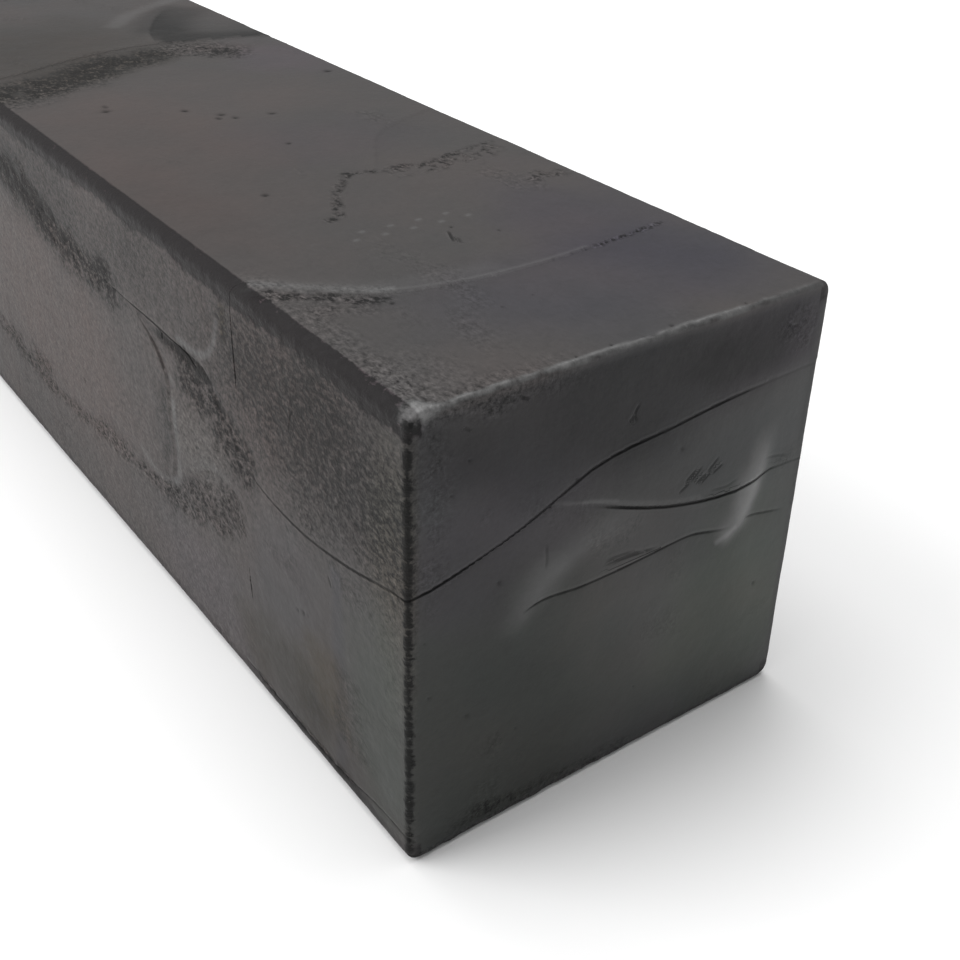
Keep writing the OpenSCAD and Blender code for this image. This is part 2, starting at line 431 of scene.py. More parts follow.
def work_left(face):
    """The left flank: the main lap, the leaf with its rough border, and the lower lap."""
    face.blotch(25, 10, 40, 30, warm=0.75, rough=0.4)
    face.blotch(5, 16.3, 9, 4.8, rough=0.25, shade=-0.5, warm=0.25)
    face.blotch(7.5, 17, 5, 3, shade=-0.16, warm=0.25)
    face.blotch(18, 17.5, 8, 3, shade=-0.3)
    face.blotch(36, 17.4, 12, 3, shade=-0.45)
    face.blotch(6, 5, 8, 7, shade=-0.28, rough=-0.34)
    face.blotch(0.8, 14, 2, 6, rust=0.35, warm=-0.5, rough=0.15)
    main = [(-1, 12.9), (0, 12.7), (2, 12.2), (4, 11.7), (6, 11.4), (8, 11.25), (10, 11.4),
            (12, 11.8), (13, 12.1)]
    face.lap(main, lip=0.01, drop=0.012, roll=0.4, dust=0.04, end=1.5)
    # the torn belt under the lobe, from the main lap to the fold above the leaf
    face.torn([(10.2, 11.5), (12, 11.8), (13.6, 12.5), (15, 13.2), (16.8, 13.7), (18.8, 14)], 1.9,
            depth=0.045, grain=0.05, dark=0.46, start=2, lumps=0.7, cover=0.8, seed=31)
    face.torn([(13, 12.6), (14.4, 13.9), (15.4, 14.6), (16.4, 14.8), (19, 14.6), (22, 14.9)], 0.4,
            depth=0.05, dark=0.24, start=0.8, end=4, seed=32)
    # painted shade under the fold and along its crease, and a painted highlight along the rim of the
    # lobe
    face.lap([(13.9, 13.3), (14.6, 14.2), (15.6, 14.85), (17.5, 14.95), (20, 14.9), (23, 15),
            (27, 15.1)], groove=0.02, lip=0.03, drop=0.04, dust=0.12, start=1, end=4, shade=0.2)
    face.streak([(15.4, 14.2), (16.4, 14.6), (17.8, 14.65), (20.5, 14.75)], 0.28, shade=-0.6, warm=0.4)
    face.streak([(18.2, 15.3), (16.2, 15.4), (15, 15.8), (14.2, 16.7), (13.7, 18)], 0.2, dust=0.8)
    face.blotch(17.5, 16.9, 3.6, 1.6, dust=0.08)
    # the granular dark belt high on the far part
    face.torn([(23, 15), (27, 15), (31, 15.1), (35, 15.8), (39, 16.4), (46, 17)], 1.7, depth=0.04,
            grain=0.06, dark=0.55, start=3, end=4, lumps=1.7, cover=0.4, seed=33)
    face.torn([(31, 15.6), (35, 16.6), (40, 17.4)], 1.3, grain=0.05, dark=0.3, start=3, end=3,
            lumps=1.5, seed=36)
    # the leaf, its lighter face, and its soft curled border, with painted shade beside it and painted
    # highlights along its rim
    leaf = [(20.7, 6.9), (19.9, 7.6), (19.55, 8.8), (19.6, 10.4), (19.6, 11.6), (19.5, 12.4),
            (19.8, 13.1), (20.3, 13.7), (21.2, 14.3), (22.4, 14.8)]
    face.lap(leaf, lip=-0.035, drop=-0.025, roll=0.7, dust=0, start=1.2, end=2, shade=0)
    face.lap(leaf[5:], groove=0.01, lip=0, drop=0, dark=0.4, dust=0, start=1, end=1)
    # painted shade and painted highlights along the leaf's border
    face.streak([(21, 7.6), (20.1, 9.2), (20.1, 11.3), (20, 12.4)], 0.45, shade=-0.5)
    face.streak([(21.6, 8.4), (20.9, 9.6), (20.9, 11.3), (20.8, 12.2)], 0.6, shade=-0.2)
    face.streak([(19.6, 7.4), (20.6, 6.8), (22.2, 6.6), (24, 7.2)], 0.22, dust=0.5)
    face.streak([(22, 12.8), (20.6, 12.4), (19, 12.8), (18, 13.3)], 0.3, shade=-0.12)
    face.streak([(19.7, 12.9), (20.3, 13.6), (21, 14.1)], 0.28, shade=-0.3, warm=0.4)
    face.streak([(20, 6.9), (19.25, 7.9), (19.2, 10), (19.15, 12)], 0.26, dust=0.55)
    face.streak([(19.3, 12.5), (18.9, 13.1)], 0.3, dust=0.5)
    face.blotch(16.8, 10.7, 3.8, 2.0, height=0.03, dust=0.42, rough=0.3, rust=0.1)
    face.streak([(19.6, 8.2), (17.6, 9.1), (16, 10.1), (13.6, 10.4)], 0.3, dust=0.14)
    # the lower belt
    face.torn([(12, 9), (14, 8.8), (16, 8.3), (18, 7.4), (20, 6.6), (22, 6)], 1.5, depth=0.03,
            grain=0.045, dark=0.2, end=1.5, cover=0.4, seed=34)
    face.torn([(13, 8.2), (15, 7.4), (18, 6.4), (21, 6), (24, 5.7), (28, 5.4), (32, 5), (38, 4.6),
            (46, 5.4), (52, 5.2)], 0.95, depth=0.03, grain=0.05, dark=0.05, start=1.5, end=6, lumps=1.5,
            cover=0.35, seed=37)
    face.lap([(12.6, 10), (13.6, 10.1), (15, 10), (16, 9.7), (17.2, 8.8), (18.6, 8), (20, 7.4)],
            lip=0.015, drop=0.025, dust=0.06, start=1, end=2)
    face.torn([(34, 5.8), (40, 5.4), (47, 5)], 1.3, start=4, end=4, lumps=2, seed=38)
    # the knit, the soft upright bands and the line near the bottom
    face.streak([(13, 18.9), (13.15, 18.2), (13.2, 17)], 0.25, shade=-0.25, rust=0.5)
    face.streak([(13.7, 6.5), (13.6, 4), (13.6, 1.4)], 0.35, shade=-0.06)
    face.streak([(4.9, 11.4), (4.85, 8), (4.9, 4), (5, 1)], 0.45, shade=-0.06, plum=0.4, warm=-0.5)
    face.lap([(-1, 1.35), (2, 1.3), (4, 1), (6, 0.75), (9, 0.8), (12, 0.85), (14, 1)], groove=0.02,
            lip=0.01, dark=0.55, dust=0.05, end=1)
    face.torn([(3.5, 0.9), (8, 0.8), (13, 0.9)], 0.28, dark=0.2, lumps=0.6, seed=39)
    face.blotch(6.3, 4.3, 1.9, 2.6, rust=1.0, shade=-0.24)
    face.blotch(10, 3.2, 4, 2.2, rust=0.45, shade=-0.24, warm=-0.2)
    face.blotch(5, 2, 3, 1.6, shade=-0.16, warm=0.4)
    face.blotch(2, 5, 2.6, 6, plum=-0.6, warm=-0.7, shade=0.03)
    face.blotch(9, 8, 3.5, 3, plum=0.2, warm=-0.3)
    face.blotch(16, 3, 7, 3, plum=0.3, warm=-0.2, shade=0.08)
    face.blotch(36, 10, 12, 5, warm=0.35, shade=0.06)
    face.blotch(45, 3, 12, 4, shade=-0.12)
    face.lap([(52, 13.4), (58, 12), (66, 12.4), (74, 11), (81, 11.4)], dark=0.6, start=5, groove=0.02)
    face.torn([(56, 8), (62, 6.5), (70, 6.8), (78, 5)], 1.1, seed=35, start=4)
    face.pits([(7.6, 7.4, 0.13), (8.1, 7.2, 0.09), (7.2, 7.5, 0.07), (31, 7.6, 0.12), (3.2, 14, 0.1),
            (44, 9.4, 0.15), (61, 15.5, 0.2), (72, 9, 0.15)])
    face.scratch([(7.5, 16.8), (7.9, 16.1), (8, 15.5)], dark=0.3)
    face.scratch([(5.5, 10.6), (5.2, 10)], dark=0.3)


def work_top(face):
    """The top: the step of the first lap, a thin torn lap, and the wide dark torn band."""
    face.blotch(10, 30, 30, 60, warm=0.45, shade=-0.05)
    step = [(-1, 12.6), (0, 11.7), (1, 10.9), (2, 10), (3, 9.1), (4.2, 8.3), (6, 7.85), (8, 7.5),
            (10, 7.4), (12, 7.45), (14, 7.7), (16, 7.95), (18, 8.3), (21, 8.6)]
    face.lap(step, lip=0.03, drop=0.03, roll=0.9, dust=0, end=9)
    # painted highlight along the lip of the step, grainy near the left edge
    face.streak([(0, 12.3), (1, 11.5), (2.2, 10.5), (3.5, 9.5), (5, 8.7), (7, 8.3), (10, 8)], 0.7,
            dust=0.22)
    face.streak([(0.3, 11.9), (1.4, 10.9), (2.6, 9.9), (3.8, 9), (5.2, 8.3)], 0.4, dust=0.55, rough=0.5)
    face.streak([(4, 8.75), (6, 8.05), (8, 7.68), (10, 7.55), (12, 7.6), (14, 7.85)], 0.12, dust=0.5)
    face.torn([(0, 11), (1, 10.2), (2, 9.4), (3.4, 8.3), (5, 7.6)], 0.6, grain=0.04, dark=0.34,
            start=0.3, end=1.5, lumps=0.7, seed=41)
    face.torn([(0.8, 8.6), (2.4, 8), (4, 7.2)], 0.9, depth=0, grain=0.02, dark=0.04, rough=0.5, seed=48)
    face.torn([(13.2, 7.6), (16, 7.9), (18.8, 8.3)], 0.2, depth=0.01, dark=0.2, lumps=0.5, seed=42)
    face.torn([(6, 15.8), (7, 16.1), (8, 18), (9.5, 20), (10.2, 20.6), (12, 20.2), (13, 20.3), (14, 20),
            (16, 20.6), (18, 21.2), (19.3, 21.4)], 0.36, depth=0.03, grain=0.04, dark=0.36, lumps=0.6,
            cover=0, start=0.4, seed=43)
    face.torn([(11.5, 19.7), (13.5, 19.5), (16, 19.9), (19, 20.6)], 0.9, dark=0.24, lumps=0.7,
            cover=-0.1, seed=44)
    face.torn([(16.5, 15.2), (18, 15.9), (19.4, 15.3)], 0.7, dark=0.16, lumps=0.7, cover=-0.1, seed=45)
    face.lap([(11, 19.5), (12.5, 22), (14.5, 25), (17, 26.6), (20.5, 28)], drop=0.01, roll=0.8, dust=0,
            start=3, end=2)
    face.torn([(-2, 38.6), (0, 40), (2, 41), (5, 42.3), (8, 44), (10, 44.9), (13, 45.3), (15, 44.6),
            (16.6, 42.8)], 2.4, depth=0.05, grain=0.05, dark=0.24, lumps=1.8, cover=0.3, start=0.5,
            end=0.8, rough=0.8, seed=46)
    face.streak([(-1, 41), (3, 41.6), (7, 43.6), (11, 45.2), (13, 45.2)], 1.8, shade=-0.45, rust=0.25)
    face.torn([(13.6, 43), (15.2, 44), (16.4, 42)], 1.2, dark=0.3, lumps=0.8, cover=0.1, seed=49)
    face.lap([(-1, 43.5), (3, 44.6), (7, 46.4), (12, 47.6), (16, 47), (20.5, 46.4)], groove=0.01,
            lip=0.04, drop=0.03, roll=1, dark=0.3, dust=0, start=2)
    face.streak([(13.4, 49), (14.4, 51), (16.4, 54), (19, 57)], 1.9, shade=-0.4)
    face.lap([(21, 46.4), (16, 47.2), (12.6, 47.8)], lip=0, drop=0.03, roll=2.4, dark=0.2, dust=0,
            end=1, shade=0.5)
    face.lap([(12.6, 47.8), (13.2, 50), (15, 53.6), (17.6, 57)], roll=1.2, start=1, end=4, shade=0.35)
    # painted highlight along a lip
    face.streak([(11.6, 52.5), (13.6, 55), (15.8, 56.8), (19.5, 59.4)], 0.6, dust=0.5)
    face.streak([(13, 48), (16, 48.2), (19, 47.2), (21, 46.6)], 0.9, shade=-0.25)
    face.scratch([(9.5, 11), (9.8, 11.7), (10.1, 12.4)], dark=0.8)
    face.scratch([(9.7, 10.8), (10, 11.5)], dark=0.5)
    for n in range(9):
        x, s = 6 + 0.7 * n, 13.3 + 0.35 * ((2 * n) % 4)
        face.scratch([(x, s), (x + 0.45, s + 0.1)], depth=0, dark=0, dust=0.9)
    face.pits([(5.6, 20, 0.22), (9.3, 32, 0.26), (4.5, 35.5, 0.28), (4.2, 7.4, 0.14), (18.5, 37, 0.24),
            (7.4, 4.9, 0.07), (12.4, 6.1, 0.06), (10.4, 12.6, 0.1), (9.7, 31.2, 0.2), (2.9, 3.2, 0.07),
            (10, 26, 0.2), (11.7, 31, 0.2), (8, 33.6, 0.22), (11.9, 11.2, 0.09), (9, 5.1, 0.06),
            (5.2, 3, 0.06), (4.8, 36.3, 0.2), (8.9, 31.5, 0.2)], dark=1.1)
    # light dots: a negative darkening makes these places lighter
    face.pits([(10.2, 10.3, 0.12), (2.6, 14, 0.1)], depth=0, dark=-2.5)
    face.pits([(1.1, 0.5, 0.1), (2.2, 0.4, 0.1), (3.1, 0.35, 0.07), (7.1, 0.3, 0.07), (8.7, 0.3, 0.08),
            (11.6, 0.3, 0.12), (15.4, 0.25, 0.07)], depth=0.03, dark=0.95)
    face.blotch(0.6, 4, 1.2, 8, rough=0.5, dust=0.08)
    face.blotch(1.6, 1.8, 2.2, 2.4, rough=0.35, dust=0.1)
    face.blotch(4.5, 28, 5, 11, warm=0.65, shade=0.03)
    face.blotch(1.5, 20, 2.5, 7, warm=0.25, shade=-0.06)
    face.blotch(12.5, 5, 9, 4.2, plum=0.7, warm=-0.5, shade=-0.14)
    face.blotch(17, 9, 4, 8, plum=0.8, warm=-0.3, shade=-0.14)
    face.blotch(12, 26, 5, 4, plum=0.3, shade=-0.04)
    face.blotch(10, 35, 6, 6, warm=0.2, shade=0.04)
    face.blotch(18, 41.5, 3.5, 4.5, plum=0.6, shade=0.04)
    face.blotch(5, 50, 9, 7, rust=0.2, shade=-0.3)
    face.torn([(-1, 66), (6, 64), (13, 67), (21, 65)], 1.3, depth=0.05, dark=0.22, seed=47)
    face.lap([(4, 80.5), (6, 74), (12, 70), (21, 71)], lip=0.04, drop=0.03, groove=0.02, dark=0.6)


def work_right(face):
    """The right flank, where the laps of the near end run on."""
    face.lap([(-1, 16.7), (2, 16.1), (5, 15.5), (8, 15.2)], lip=0.01, drop=0.01, end=2)
    face.lap([(-1, 11.9), (3, 11), (6, 10.5), (8.5, 10.4)], lip=0.01, drop=0.01, end=2)
    face.torn([(8, 11), (13, 12), (17, 14.6), (26, 15.1), (36, 16)], 0.9, depth=0.06, dark=0.26,
            start=2, end=5, lumps=1.6, seed=51)
    face.torn([(8, 10), (15, 9.6), (21, 6.4), (32, 5), (45, 5.2)], 0.8, depth=0.05, dark=0.25,
            lumps=1.5, seed=52)
    face.ridge([(14, 3), (18, 6), (19, 10), (23, 12.5)], 0.12, 0.8, steep=1.6, dust=0.35)
    face.lap([(46, 18), (50, 12), (58, 9), (70, 8.4), (81, 9.5)], groove=0.04, lip=0.06, drop=0.05,
            dark=0.6, start=3)
    face.torn([(52, 14), (60, 15.5), (72, 14)], 1.4, seed=53)
    face.scratch([(28, 9), (31, 10.2), (35, 10.6)])
    face.pits([(4, 5, 0.14), (11, 17, 0.12), (24, 9, 0.18), (38, 12, 0.15), (66, 4, 0.2)])
    face.blotch(12, 5, 8, 4, warm=0.5)
    face.blotch(40, 9, 12, 6, warm=0.25, rough=0.15)
    face.blotch(66, 8, 12, 7, warm=-0.2, rough=0.2)


def work_bottom(face):
    """The resting face, scuffed from lying about."""
    face.lap([(-1, 13.5), (2, 10), (6, 7.8), (12, 7.4), (21, 8.5)], groove=0.03, lip=0.04, drop=0.03,
            dark=0.5)
    face.lap([(-1, 40.2), (5, 42.5), (10, 45), (21, 45.2)], groove=0.03, lip=0.04, drop=0.03, dark=0.5)
    face.torn([(3, 24), (9, 28), (14, 26), (21, 30)], 1.4, depth=0.06, dark=0.25, seed=61)
    face.torn([(-1, 60), (8, 57), (15, 61)], 1.8, depth=0.06, dark=0.25, seed=62)
    for n in range(14):
        x, s = 2 + 1.2 * n, 14 + 37 * ((n * 0.618) % 1)
        face.scratch([(x, s), (x + 0.7, s + 5 + n % 4)], depth=0.015, dark=0.1, dust=0.35)
    face.blotch(10, 40, 8, 30, rough=0.2, dust=0.06)


def work_rear(face):
    """The far end, with one lap and a short crack."""
    face.lap([(-1, 14.2), (5, 14), (12, 14.4), (21, 14)], groove=0.03, lip=0.05, drop=0.05, dark=0.6)
    face.lap([(6, 4), (8, 6.4), (12, 7.6), (15, 7.2)], groove=0.07, lip=0.05, drop=0.04, dark=0.8,
            start=1.5, end=1.5)
    face.ridge([(4, 7), (7, 9.4), (12, 10)], 0.12, 0.8, steep=1.5)
    face.torn([(14, 19), (18, 17), (20, 13)], 1.2, seed=71)
    face.pits([(4, 16.5, 0.15), (15, 3, 0.2), (10, 12, 0.12)])
    face.blotch(12, 6, 7, 5, warm=0.4)


# Each face: the axis that it faces along, which way, which axes its u and v are, its work
FACES = (
    (1, -1, 0, 2, work_front),
    (1, 1, 0, 2, work_rear),
    (0, -1, 1, 2, work_left),
    (0, 1, 1, 2, work_right),
    (2, 1, 0, 1, work_top),
    (2, -1, 0, 1, work_bottom),
)


# ---------------------------------------------------------------- the block

def only(obj):
    """Leaves obj alone selected and active."""
    bpy.ops.object.select_all(action="DESELECT")
    obj.select_set(True)
    bpy.context.view_layer.objects.active = obj


def rows_along(share):
    """Place along the stick for a share from 0 to 1 of its rows: close at the front end."""
    return share * (0.44 + 0.14 * share + 0.42 * share ** 3)


def even_factors(count):
    """Two whole numbers whose product is about count."""
    first = max(2, round(math.sqrt(count)))
    return first, max(2, round(count / first))


def read_points(mesh):
    points = np.empty(len(mesh.vertices) * 3)
    mesh.vertices.foreach_get("co", points)
    return points.reshape(-1, 3)


def write_points(mesh, points):
    mesh.vertices.foreach_set("co", np.ascontiguousarray(points, dtype=np.float32).ravel())
    mesh.update()


def read_field(mesh, name):
    values = np.empty(len(mesh.vertices), dtype=np.float32)
    mesh.attributes[name].data.foreach_get("value", values)
    return values


def write_field(mesh, name, values):
    values = np.ascontiguousarray(values, dtype=np.float32)
    mesh.attributes[name].data.foreach_set("value", values)


def add_block(step):
    """A cube cut into rows along all three axes."""
    bpy.ops.mesh.primitive_cube_add(size=1)
    block = bpy.context.object
    block.name = BLOCK
    only(block)
    bpy.ops.object.mode_set(mode="EDIT")
    bpy.ops.mesh.select_mode(type="EDGE")
    across = even_factors(WIDTH / step)
    for axis, counts in ((0, across), (2, across), (1, even_factors(LENGTH * ROWS_SHARE / step))):
        for count in counts:
            bpy.ops.mesh.select_all(action="DESELECT")
            shape = bmesh.from_edit_mesh(block.data)
            for edge in shape.edges:
                edge.select = abs(edge.verts[0].co[axis] - edge.verts[1].co[axis]) > 1e-7
            bmesh.update_edit_mesh(block.data)
            bpy.ops.mesh.subdivide(number_cuts=count - 1)
    bpy.ops.object.mode_set(mode="OBJECT")
    return block


def rounded(cube, long_edge, end_edge):
    """Points on the cube, spread over the stick's box with its edges rounded."""
    x, z = cube[:, 0] * WIDTH, cube[:, 2] * HEIGHT
    y = rows_along(cube[:, 1] + 0.5) * LENGTH
    # the section's corners, for the four long edges
    inner_x = np.clip(x, -WIDTH / 2 + long_edge, WIDTH / 2 - long_edge)
    inner_z = np.clip(z, -HEIGHT / 2 + long_edge, HEIGHT / 2 - long_edge)
    dx, dz = x - inner_x, z - inner_z
    reach = np.hypot(dx, dz) + 1e-9
    pull = np.maximum(abs(dx), abs(dz)) / reach
    x, z = inner_x + dx * pull, inner_z + dz * pull
    # the edges round the ends: how far in from the sides and from the end a point is
    inward = np.minimum(WIDTH / 2 - abs(cube[:, 0] * WIDTH), HEIGHT / 2 - abs(cube[:, 2] * HEIGHT))
    end = np.minimum(y, LENGTH - y)
    a, b = np.minimum(inward - end_edge, 0), np.minimum(end - end_edge, 0)
    reach = np.hypot(a, b) + 1e-9
    pull = np.maximum(abs(a), abs(b)) / reach
    corner = (inward < end_edge) & (end < end_edge)
    more_in = np.where(corner, a * pull + end_edge - inward, 0)
    more_end = np.where(corner, b * pull + end_edge - end, 0)
    out_x, out_z = x - inner_x, z - inner_z
    flat = np.hypot(out_x, out_z) + 1e-9
    x = x - more_in * out_x / flat
    z = z - more_in * out_z / flat
    y = y + np.where(y < LENGTH / 2, more_end, -more_end)
    return np.stack([x, y + FRONT, z + HEIGHT / 2], axis=1)


def outward(points, long_edge, end_edge):
    """Which way the plain rounded box faces at those points."""
    half = np.array([WIDTH / 2 - long_edge, LENGTH / 2 - end_edge, HEIGHT / 2 - long_edge])
    centre = np.array([0, FRONT + LENGTH / 2, HEIGHT / 2])
    away = points - centre
    away = away - np.clip(away, -half, half)
    away = away + 1e-9 * (points - centre)
    return away / np.linalg.norm(away, axis=1)[:, None]


def work_edges(points, share, height, fields):
    """Crumbling along the edges: a rough dark band on the long ones, burrs on the ends'."""
    x = points[:, 0] + WIDTH / 2
    z = points[:, 2]
    s = points[:, 1] - FRONT
    crumbs = layers(points, 0.42, 2, 81)
    lumps = layers(points, (1.6, 3.5, 1.6), 2, 82)
    # the long edges, seen from the flank beside and the face above or below
    for left in (True, False):
        for top in (True, False):
            side = x if left else WIDTH - x
            level = HEIGHT - z if top else z
            strong = 1.0 if left and top else 0.4
            flank = share[(0, -1 if left else 1)]
            lid = share[(2, 1 if top else -1)]
            on_flank = smoothstep(1.05, 0.6, level + 0.25 * lumps + 0.2 * crumbs) * (flank > 0.02)
            on_lid = smoothstep(0.35, 0.1, side + 0.1 * lumps) * (lid > 0.02)
            band = np.maximum(on_flank * (side < 1.5), on_lid * (level < 1.5)) * strong
            height += band * (0.03 * crumbs - 0.02)
            fields["rough"][:] = np.maximum(fields["rough"], 0.4 * band)
            fields["shade"] -= band * (1.15 + 0.3 * crumbs)
            fields["plum"] += 0.9 * band
            fields["warm"] += 0.6 * band
    # the upright edges of both ends: a narrow dark saw-toothed band
    teeth = noise(points, (0.5, 0.5, 0.11), 83)
    for near_side, strong in ((x, 1.0), (WIDTH - x, 0.2)):
        for near_end in (s, LENGTH - s):
            away = np.maximum(near_side, near_end) + 0.14 * teeth + 0.05 * lumps
            band = smoothstep(0.27, 0.09, away) * (z < HEIGHT - 0.3) * strong
            height += band * (0.03 * crumbs - 0.01)
            fields["rough"][:] = np.maximum(fields["rough"], 0.8 * band)
            fields["shade"] -= (0.95 + 0.4 * crumbs) * band
    # the level edges of both ends: a bright burr above, crumbs under a painted highlight, and a dark
    # crumbled one below
    burr = layers(points, (0.7, 0.2, 0.2), 2, 84)
    for near_end in (s, LENGTH - s):
        away = np.maximum(near_end, HEIGHT - z)
        rim = np.exp(-((away - 0.08) / (0.11 + 0.03 * lumps)) ** 2)
        rim = rim * (1 - 0.5 * smoothstep(13, 19, x)) * (x > 0.2) * (x < WIDTH - 0.2)
        height += rim * (0.02 + 0.05 * burr)
        fields["rough"][:] = np.maximum(fields["rough"], 0.35 * rim)
        fields["dust"] += rim * np.clip(2.1 + 3 * burr, 0, 3)
        fringe = smoothstep(1.3, 0.3, away + 0.6 * lumps) * smoothstep(9, 3, x)
        fields["rough"][:] = np.maximum(fields["rough"], 0.55 * fringe)
        away = np.maximum(near_end, z)
        rim = smoothstep(0.45, 0.1, away + 0.2 * lumps)
        height += rim * 0.04 * crumbs
        fields["rough"][:] = np.maximum(fields["rough"], 0.7 * rim)
        fields["shade"] -= 0.2 * rim
    # the near top corner: a bright spot, crumbs under a painted highlight
    corner = np.exp(-((x - 0.3) / 0.6) ** 2 - ((s - 0.1) / 0.5) ** 2
                    - ((HEIGHT - z - 0.1) / 0.45) ** 2)
    fields["dust"] += 3.4 * corner * np.clip(1 + 1.2 * crumbs, 0, 2)
    fields["shade"] += 0.3 * corner
    height += 0.05 * corner * crumbs


def work_skin(block, sizes):
    """Moves the block's points to the worn skin, and stores its finish in attributes."""
    mesh = block.data
    long_edge, end_edge = sizes.long_edge / MM, sizes.end_edge / MM
    points = rounded(read_points(mesh), long_edge, end_edge)
    normals = outward(points, long_edge, end_edge)
    height = (0.05 * layers(points, (7, 12, 7), 2, 11) + 0.018 * layers(points, 2.2, 2, 12)
              + 0.004 * noise(points, 0.3, 13))
    fields = {name: np.zeros(len(points)) for name in FIELDS}
    patches = smoothstep(0.28, 0.6, layers(points, (3, 6, 3), 3, 14))
    fields["rough"] += 0.3 * patches
    share = {}
    places = points + np.array([WIDTH / 2, -FRONT, 0])
    for axis, way, u_axis, v_axis, work in FACES:
        facing = np.clip(normals[:, axis] * way, 0, 1) ** 2
        share[(axis, way)] = facing
        on = np.flatnonzero(facing > 0.001)
        face = Face(points[on], places[on, u_axis], places[on, v_axis])
        work(face)
        height[on] += facing[on] * face.height
        for name in FIELDS:
            fields[name][on] += facing[on] * face.fields[name]
    work_edges(points, share, height, fields)
    write_points(mesh, points + normals * (height * sizes.relief)[:, None])
    facing = np.empty(len(points) * 3, dtype=np.float32)
    mesh.vertex_normals.foreach_get("vector", facing)
    fields.update(zip(NORMALS, facing.reshape(-1, 3).T))
    for name, values in fields.items():
        mesh.attributes.new(name, "FLOAT", "POINT")
        write_field(mesh, name, np.clip(values, -3, 3))


class CHARCOAL_OT_block(bpy.types.Operator):
    """Make the block that all lumps are cut from, with its worn skin"""
    bl_idname = "charcoal.block"
    bl_label = "Skin block"

    def execute(self, context):
        sizes = context.scene.stick_sizes
        step = sizes.skin_step / MM
        block = add_block(step)
        work_skin(block, sizes)
        block.data.materials.append(finish_named("pressed_charcoal"))
        return {"FINISHED"}


# ---------------------------------------------------------------- the lumps

def cutter_of(node):
    """The node's own solid in millimetres, merged, and pushed out past the block's skin."""
    bpy.ops.object.select_all(action="DESELECT")
    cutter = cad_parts[node].copy()
    cutter.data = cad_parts[node].data.copy()
    cutter.name = node + "_cutter"
    cutter.parent = None
    cutter.matrix_world = Matrix.Identity(4)
    bpy.context.scene.collection.objects.link(cutter)
    cutter.data.materials.clear()
    cutter.data.materials.append(finish_named("pressed_charcoal"))
    cutter.data.materials.append(finish_named("broken_charcoal"))
    cutter.data.transform(Matrix.Scale(1 / MM, 4))
    only(cutter)
    bpy.ops.object.mode_set(mode="EDIT")
    bpy.ops.mesh.select_all(action="SELECT")
    bpy.ops.mesh.remove_doubles(threshold=0.001)
    bpy.ops.object.mode_set(mode="OBJECT")
    points = read_points(cutter.data)
    centre = np.array([0, FRONT + LENGTH / 2, HEIGHT / 2])
    half = np.array([WIDTH / 2, LENGTH / 2, HEIGHT / 2]) - OUTSIDE
    away = points - centre
    write_points(cutter.data, points + np.where(abs(away) > half, np.sign(away), 0))
    for polygon in cutter.data.polygons:
        polygon.material_index = 1
    return cutter


def seam_strength(points):
    """How clearly the border between two lumps shows, from 0 to 1."""
    x, s, z = points[:, 0] + WIDTH / 2, points[:, 1] - FRONT, points[:, 2]
    front = s < 0.4
    main = front & (z > np.interp(x, (0, 5.8, 6.5, 8, 20), (12.2, 14.1, 14.5, 14.8, 15.8)))
    left = (x < 0.5) & ~front
    top = (z > HEIGHT - 0.5) & ~front & (x > 0.5)
    uneven = 0.85 + 0.3 * noise(points, 1.6, 92)
    strength = np.full(len(points), 0.4)
    wedge = smoothstep(8, 10, x) * (1 - 0.75 * smoothstep(16.5, 19, x))
    strength = np.where(front, wedge * uneven, strength)
    strength = np.where(main, (0.95 - 0.8 * smoothstep(13, 17.5, x)) * uneven, strength)
    flank = 0.75 * smoothstep(12.6, 10.5, s) * smoothstep(1.2, 0.9, abs(z - 12))
    fold = 1.0 * smoothstep(14, 14.8, s) * smoothstep(28, 21, s)
    fold = fold * (z > np.interp(s, (13.9, 14.6, 15.6, 27), (13, 13.9, 14.55, 14.6)))
    strength = np.where(left, np.maximum(flank, fold) * uneven, strength)
    return np.where(top, 0.1 * smoothstep(9, 4, x) * (s < 30), strength)


def sides(mesh):
    """Each corner's point and whether it is on the skin, and the points on skin and walls."""
    kinds = np.empty(len(mesh.polygons), dtype=np.int32)
    mesh.polygons.foreach_get("material_index", kinds)
    corners = np.empty(len(mesh.loops), dtype=np.int32)
    mesh.loops.foreach_get("vertex_index", corners)
    totals = np.empty(len(mesh.polygons), dtype=np.int32)
    mesh.polygons.foreach_get("loop_total", totals)
    skin_corners = np.repeat(kinds, totals) == 0
    skin, wall = np.zeros(len(mesh.vertices), bool), np.zeros(len(mesh.vertices), bool)
    skin[corners[skin_corners]] = True
    wall[corners[~skin_corners]] = True
    return corners, skin_corners, skin, wall


def mend_border(mesh, border, known):
    """Gives the cut's new points the finish of the skin points beside them."""
    ends = np.empty(len(mesh.edges) * 2, dtype=np.int32)
    mesh.edges.foreach_get("vertices", ends)
    ends = ends.reshape(-1, 2)
    ends = np.vstack([ends, ends[:, ::-1]])
    for _ in range(2):
        pairs = ends[(border & ~known)[ends[:, 0]] & known[ends[:, 1]]]
        count = np.bincount(pairs[:, 0], minlength=len(border))
        for name in FIELDS + NORMALS:
            values = read_field(mesh, name)
            total = np.bincount(pairs[:, 0], values[pairs[:, 1]], minlength=len(border))
            write_field(mesh, name, np.where(count > 0, total / np.maximum(count, 1), values))
        known = known | (count > 0)


